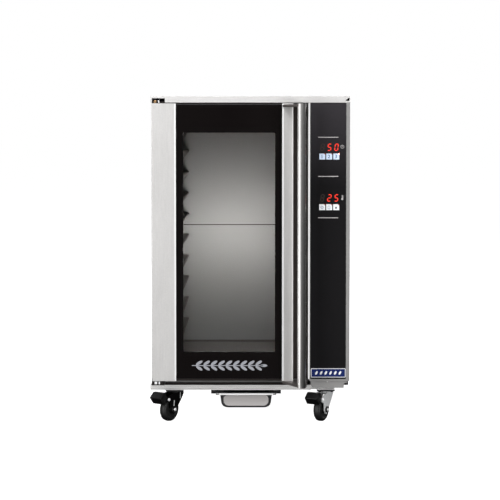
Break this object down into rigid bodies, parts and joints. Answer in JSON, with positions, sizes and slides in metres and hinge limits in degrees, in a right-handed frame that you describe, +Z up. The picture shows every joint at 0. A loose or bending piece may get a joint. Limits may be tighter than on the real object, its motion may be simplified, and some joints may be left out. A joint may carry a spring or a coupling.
{
  "type": "proofing cabinet",
  "caption": "Upright stainless proofing cabinet with a framed glass door, full-height handle, side control column, tray runners, drip pan and swivel castors.",
  "frame": {"origin": "on the floor under the centre of the bounding box", "axes": "+Z up, the door faces -Y, the control column is on the +X side"},
  "size_m": [0.626, 0.75, 1.011],
  "materials": {
    "stainless": "fine brushed stainless sheet",
    "stainless_inner": "brushed stainless lining",
    "rack_steel": "dull stainless, dark from use",
    "dark_steel": "dark satin",
    "handle_steel": "polished along its length",
    "bracket_steel": "zinc-bright pressed steel",
    "pan_steel": "deep-drawn stainless",
    "zinc": "blue zinc plating",
    "bronze": "sintered bronze",
    "heater_sheath": "heat-tinted sheath",
    "mineral_wool": "matt fibre",
    "seal_rubber": "matt silicone",
    "castor_rubber": "matt black",
    "pedal_black": "moulded black",
    "black_plastic": "moulded black",
    "fan_plastic": "glass-filled nylon",
    "door_glass": "clear, black printed border",
    "inner_glass": "clear",
    "panel_black": "gloss black fascia",
    "key_white": "backlit white",
    "led_red": "red lens",
    "display_dark": "dark red filter",
    "board_green": "circuit laminate",
    "badge_blue": "blue enamel"
  },
  "bodies": {
    "cabinet": {"base_frame": "stainless", "body_floor": "stainless", "left_side_panel": "stainless", "right_side_panel": "stainless", "top_panel": "stainless", "rear_panel": "stainless", "cavity_liner": "stainless_inner", "door_surround": "stainless", "insulation": "mineral_wool", "rear_baffle_upper": "stainless_inner", "rear_baffle_lower": "stainless_inner", "rack_left": "rack_steel", "rack_right": "rack_steel", "door_gasket": "seal_rubber", "drip_gutter": "dark_steel", "fan_frames": "fan_plastic", "heater_element": "heater_sheath", "humidity_trough": "stainless_inner", "drain_spout": "stainless_inner", "drip_pan_runners": "black_plastic", "hinge_brackets": "bracket_steel", "column_frame": "stainless", "control_panel": "panel_black", "indicator_leds": "led_red", "display_modules": "display_dark", "control_board": "board_green", "badge_plate": "badge_blue", "service_panel": "stainless", "cable_gland": "black_plastic", "rear_buffers": "castor_rubber", "casing_screws": "bracket_steel", "castor_plates": "zinc"},
    "door": {"door_hinge_stile": "stainless", "door_handle_stile": "stainless", "handle_end_plates": "stainless", "door_handle": "handle_steel", "door_rails": "dark_steel", "door_outer_glass": "door_glass", "door_inner_frame": "stainless_inner", "door_inner_glass": "inner_glass", "hinge_bushes": "bronze"},
    "drip_pan": {"drip_pan": "pan_steel"},
    "fan_wheel_upper": {"fan_wheel_upper": "fan_plastic"},
    "fan_wheel_lower": {"fan_wheel_lower": "fan_plastic"},
    "key_upper_1": {"key_upper_1": "key_white"},
    "key_upper_2": {"key_upper_2": "key_white"},
    "key_upper_3": {"key_upper_3": "key_white"},
    "key_lower_1": {"key_lower_1": "key_white"},
    "key_lower_2": {"key_lower_2": "key_white"},
    "key_lower_3": {"key_lower_3": "key_white"},
    "castor_fork_front_left": {"castor_fork_front_left": "zinc"},
    "castor_wheel_front_left": {"castor_wheel_front_left": "castor_rubber"},
    "brake_pedal_front_left": {"brake_pedal_front_left": "pedal_black"},
    "castor_fork_front_right": {"castor_fork_front_right": "zinc"},
    "castor_wheel_front_right": {"castor_wheel_front_right": "castor_rubber"},
    "brake_pedal_front_right": {"brake_pedal_front_right": "pedal_black"},
    "castor_fork_rear_left": {"castor_fork_rear_left": "zinc"},
    "castor_wheel_rear_left": {"castor_wheel_rear_left": "castor_rubber"},
    "castor_fork_rear_right": {"castor_fork_rear_right": "zinc"},
    "castor_wheel_rear_right": {"castor_wheel_rear_right": "castor_rubber"}
  },
  "joints": [
    {"name": "door_hinge", "type": "hinge", "parent": "cabinet", "child": "door", "pos_m": [-0.292, -0.29, 0.56], "axis": [0, 0, -1], "range_deg": [0, 110]},
    {"name": "drip_pan_slide", "type": "slide", "parent": "cabinet", "child": "drip_pan", "axis": [0, -1, 0], "range_m": [0, 0.28]},
    {"name": "fan_upper_spin", "type": "hinge", "parent": "cabinet", "child": "fan_wheel_upper", "pos_m": [-0.066, 0.315, 0.765], "axis": [0, 1, 0], "continuous": true},
    {"name": "fan_lower_spin", "type": "hinge", "parent": "cabinet", "child": "fan_wheel_lower", "pos_m": [-0.066, 0.315, 0.37], "axis": [0, 1, 0], "continuous": true},
    {"name": "key_upper_1_press", "type": "slide", "parent": "cabinet", "child": "key_upper_1", "axis": [0, 1, 0], "range_m": [0, 0.0006], "stiffness_N_per_m": 400, "springref_m": -0.001},
    {"name": "key_upper_2_press", "type": "slide", "parent": "cabinet", "child": "key_upper_2", "axis": [0, 1, 0], "range_m": [0, 0.0006], "stiffness_N_per_m": 400, "springref_m": -0.001},
    {"name": "key_upper_3_press", "type": "slide", "parent": "cabinet", "child": "key_upper_3", "axis": [0, 1, 0], "range_m": [0, 0.0006], "stiffness_N_per_m": 400, "springref_m": -0.001},
    {"name": "key_lower_1_press", "type": "slide", "parent": "cabinet", "child": "key_lower_1", "axis": [0, 1, 0], "range_m": [0, 0.0006], "stiffness_N_per_m": 400, "springref_m": -0.001},
    {"name": "key_lower_2_press", "type": "slide", "parent": "cabinet", "child": "key_lower_2", "axis": [0, 1, 0], "range_m": [0, 0.0006], "stiffness_N_per_m": 400, "springref_m": -0.001},
    {"name": "key_lower_3_press", "type": "slide", "parent": "cabinet", "child": "key_lower_3", "axis": [0, 1, 0], "range_m": [0, 0.0006], "stiffness_N_per_m": 400, "springref_m": -0.001},
    {"name": "castor_swivel_front_left", "type": "hinge", "parent": "cabinet", "child": "castor_fork_front_left", "pos_m": [-0.237, -0.227, 0.09], "axis": [0, 0, 1], "continuous": true},
    {"name": "castor_roll_front_left", "type": "hinge", "parent": "castor_fork_front_left", "child": "castor_wheel_front_left", "pos_m": [-0.25378, -0.25187, 0.0375], "axis": [0.829, -0.5592, 0], "continuous": true},
    {"name": "brake_front_left", "type": "hinge", "parent": "castor_fork_front_left", "child": "brake_pedal_front_left", "pos_m": [-0.26776, -0.2726, 0.072], "axis": [0.829, -0.5592, 0], "range_deg": [0, 12]},
    {"name": "castor_swivel_front_right", "type": "hinge", "parent": "cabinet", "child": "castor_fork_front_right", "pos_m": [0.235, -0.227, 0.09], "axis": [0, 0, 1], "continuous": true},
    {"name": "castor_roll_front_right", "type": "hinge", "parent": "castor_fork_front_right", "child": "castor_wheel_front_right", "pos_m": [0.22092, -0.25349, 0.0375], "axis": [0.8829, -0.4695, 0], "continuous": true},
    {"name": "brake_front_right", "type": "hinge", "parent": "castor_fork_front_right", "child": "brake_pedal_front_right", "pos_m": [0.20918, -0.27556, 0.072], "axis": [0.8829, -0.4695, 0], "range_deg": [0, 12]},
    {"name": "castor_swivel_rear_left", "type": "hinge", "parent": "cabinet", "child": "castor_fork_rear_left", "pos_m": [-0.237, 0.29, 0.09], "axis": [0, 0, 1], "continuous": true},
    {"name": "castor_roll_rear_left", "type": "hinge", "parent": "castor_fork_rear_left", "child": "castor_wheel_rear_left", "pos_m": [-0.222, 0.26402, 0.0375], "axis": [0.866, 0.5, 0], "continuous": true},
    {"name": "castor_swivel_rear_right", "type": "hinge", "parent": "cabinet", "child": "castor_fork_rear_right", "pos_m": [0.235, 0.29, 0.09], "axis": [0, 0, 1], "continuous": true},
    {"name": "castor_roll_rear_right", "type": "hinge", "parent": "castor_fork_rear_right", "child": "castor_wheel_rear_right", "pos_m": [0.22, 0.31598, 0.0375], "axis": [-0.866, -0.5, 0], "continuous": true}
  ]
}
